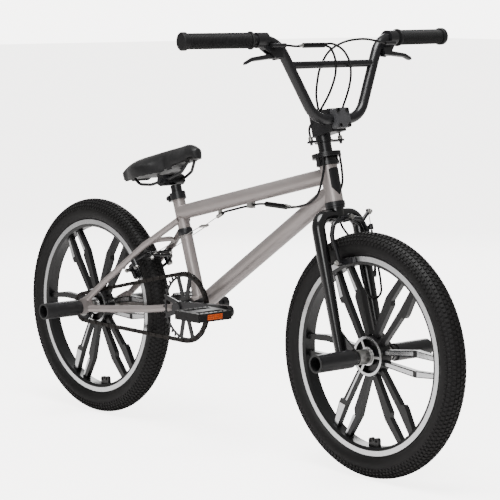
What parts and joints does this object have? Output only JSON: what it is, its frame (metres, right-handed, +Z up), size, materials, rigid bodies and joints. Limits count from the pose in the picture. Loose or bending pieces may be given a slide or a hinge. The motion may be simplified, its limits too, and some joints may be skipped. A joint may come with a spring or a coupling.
{
  "type": "BMX bicycle",
  "caption": "Freestyle BMX bicycle with a matt grey steel frame, cast black wheels, axle pegs, a cable rotor and hand brakes.",
  "frame": {"origin": "centre of the bounding box's footprint on the ground", "axes": "+X forward along the wheelbase, +Y to the bike's left, +Z up"},
  "size_m": [1.454, 0.7474, 0.9259],
  "materials": {
    "frame_paint": "matte",
    "fork_paint": "gloss",
    "black_paint": "satin",
    "steel": "satin",
    "chain_steel": "satin",
    "tyre_rubber": "matte",
    "grip_rubber": "matte",
    "cable_housing": "gloss",
    "pedal_plastic": "matte",
    "saddle_shell_plastic": "matte",
    "saddle_vinyl": "satin"
  },
  "bodies": {
    "frame": {"head_tube": "frame_paint", "top_tube": "frame_paint", "down_tube": "frame_paint", "seat_tube": "frame_paint", "bb_shell": "frame_paint", "chainstays": "frame_paint", "seatstays": "frame_paint", "rear_dropouts": "frame_paint", "rear_brake_posts": "steel", "headset_cups": "black_paint", "frame_bearings": "steel", "seat_clamp": "black_paint", "cable_guides": "steel", "gyro_bottom_plate": "black_paint", "rear_axle": "steel", "rear_pegs": "black_paint", "rear_cable": "cable_housing", "chain": "chain_steel"},
    "seat": {"seat_post": "black_paint", "saddle_clamp": "black_paint", "saddle_rails": "black_paint", "saddle_shell": "saddle_shell_plastic", "saddle_cover": "saddle_vinyl"},
    "front_end": {"fork": "fork_paint", "headset_races": "black_paint", "gyro_top_plate": "black_paint", "stem_body": "black_paint", "stem_front_cap": "black_paint", "stem_bolts": "steel", "handlebar": "black_paint", "handlebar_crossbar": "black_paint", "grips": "grip_rubber", "brake_lever_brackets": "black_paint", "upper_cables": "cable_housing", "front_cable": "cable_housing", "front_axle": "steel", "front_pegs": "black_paint", "front_brake_bolt": "steel"},
    "gyro_upper": {"gyro_upper_ring": "black_paint"},
    "gyro_lower": {"gyro_lower_ring": "black_paint"},
    "yoke": {"rear_cable_yoke": "steel"},
    "rear_arm_right": {"rear_brake_arm_right": "black_paint"},
    "rear_arm_left": {"rear_brake_arm_left": "black_paint"},
    "lever_right": {"brake_lever_right": "black_paint"},
    "lever_left": {"brake_lever_left": "black_paint"},
    "front_arm_right": {"front_brake_arm_right": "black_paint"},
    "front_arm_left": {"front_brake_arm_left": "black_paint"},
    "front_wheel_set": {"front_wheel": "black_paint", "front_hub": "steel", "front_tyre": "tyre_rubber"},
    "rear_wheel_set": {"rear_wheel": "black_paint", "rear_hub": "steel", "rear_tyre": "tyre_rubber"},
    "freewheel": {"freewheel_cog": "black_paint"},
    "crank_set": {"crank_arms": "black_paint", "crank_spindle": "steel", "chainring": "black_paint", "pedal_spindles": "steel"},
    "pedal_right_body": {"pedal_right": "pedal_plastic"},
    "pedal_left_body": {"pedal_left": "pedal_plastic"}
  },
  "joints": [
    {"name": "steering", "type": "hinge", "parent": "frame", "child": "front_end", "pos_m": [0.35368, 0, 0.56747], "axis": [-0.2588, 0, 0.9659], "continuous": true},
    {"name": "front_wheel_spin", "type": "hinge", "parent": "front_end", "child": "front_wheel_set", "pos_m": [0.47, 0, 0.257], "axis": [0, 1, 0], "continuous": true},
    {"name": "rear_wheel_spin", "type": "hinge", "parent": "frame", "child": "rear_wheel_set", "pos_m": [-0.47, 0, 0.257], "axis": [0, 1, 0], "continuous": true},
    {"name": "crank_spin", "type": "hinge", "parent": "frame", "child": "crank_set", "pos_m": [-0.08752, 0, 0.299], "axis": [0, 1, 0], "continuous": true, "deforming": ["chain"]},
    {"name": "freewheel_spin", "type": "hinge", "parent": "frame", "child": "freewheel", "pos_m": [-0.47, 0, 0.257], "axis": [0, 1, 0], "continuous": true, "deforming": ["chain"]},
    {"name": "pedal_right_spin", "type": "hinge", "parent": "crank_set", "child": "pedal_right_body", "pos_m": [0.08206, 0, 0.31086], "axis": [0, 1, 0], "continuous": true},
    {"name": "brake_lever_right_pull", "type": "hinge", "parent": "front_end", "child": "lever_right", "pos_m": [0.3445, -0.15094, 0.87595], "axis": [-0.9312, 0.1342, -0.3389], "range_deg": [0, 14], "stiffness_Nm_per_rad": 0.6, "springref_deg": -5.73},
    {"name": "pedal_left_spin", "type": "hinge", "parent": "crank_set", "child": "pedal_left_body", "pos_m": [-0.25711, 0, 0.28714], "axis": [0, 1, 0], "continuous": true},
    {"name": "brake_lever_left_pull", "type": "hinge", "parent": "front_end", "child": "lever_left", "pos_m": [0.3445, 0.15094, 0.87595], "axis": [0.9312, 0.1342, 0.3389], "range_deg": [0, 14], "stiffness_Nm_per_rad": 0.6, "springref_deg": -5.73},
    {"name": "gyro_upper_rise", "type": "slide", "parent": "front_end", "child": "gyro_upper", "axis": [-0.2588, 0, 0.9659], "range_m": [0, 0.005]},
    {"name": "gyro_lower_rise", "type": "slide", "parent": "frame", "child": "gyro_lower", "axis": [-0.2588, 0, 0.9659], "range_m": [0, 0.005]},
    {"name": "rear_yoke_pull", "type": "slide", "parent": "frame", "child": "yoke", "axis": [0.8869, 0, 0.4619], "range_m": [0, 0.005]},
    {"name": "rear_arm_right_close", "type": "hinge", "parent": "frame", "child": "rear_arm_right", "pos_m": [-0.26695, -0.049, 0.38246], "axis": [0.5883, 0, -0.8087], "range_deg": [0, 2.2]},
    {"name": "rear_arm_left_close", "type": "hinge", "parent": "frame", "child": "rear_arm_left", "pos_m": [-0.26695, 0.049, 0.38246], "axis": [-0.5883, 0, 0.8087], "range_deg": [0, 2.2]},
    {"name": "front_arm_right_close", "type": "hinge", "parent": "front_end", "child": "front_arm_right", "pos_m": [0.39179, 0, 0.53731], "axis": [0.9659, 0, 0.2588], "range_deg": [0, 0.98]},
    {"name": "front_arm_left_close", "type": "hinge", "parent": "front_end", "child": "front_arm_left", "pos_m": [0.39179, 0, 0.53731], "axis": [-0.9659, 0, -0.2588], "range_deg": [0, 0.98]},
    {"name": "seat_height", "type": "slide", "parent": "frame", "child": "seat", "axis": [-0.3173, 0, 0.9483], "range_m": [-0.008, 0.04]}
  ],
  "couplings": [
    {"joint": "freewheel_spin", "follows": "crank_spin", "ratio": 2.375},
    {"joint": "gyro_upper_rise", "follows": "brake_lever_right_pull", "m_per_rad": 0.02046},
    {"joint": "gyro_lower_rise", "follows": "brake_lever_right_pull", "m_per_rad": 0.02046},
    {"joint": "rear_yoke_pull", "follows": "brake_lever_right_pull", "m_per_rad": 0.02046},
    {"joint": "rear_arm_right_close", "follows": "brake_lever_right_pull", "ratio": 0.157},
    {"joint": "rear_arm_left_close", "follows": "brake_lever_right_pull", "ratio": 0.157},
    {"joint": "front_arm_right_close", "follows": "brake_lever_left_pull", "ratio": 0.0699},
    {"joint": "front_arm_left_close", "follows": "brake_lever_left_pull", "ratio": 0.0699}
  ]
}
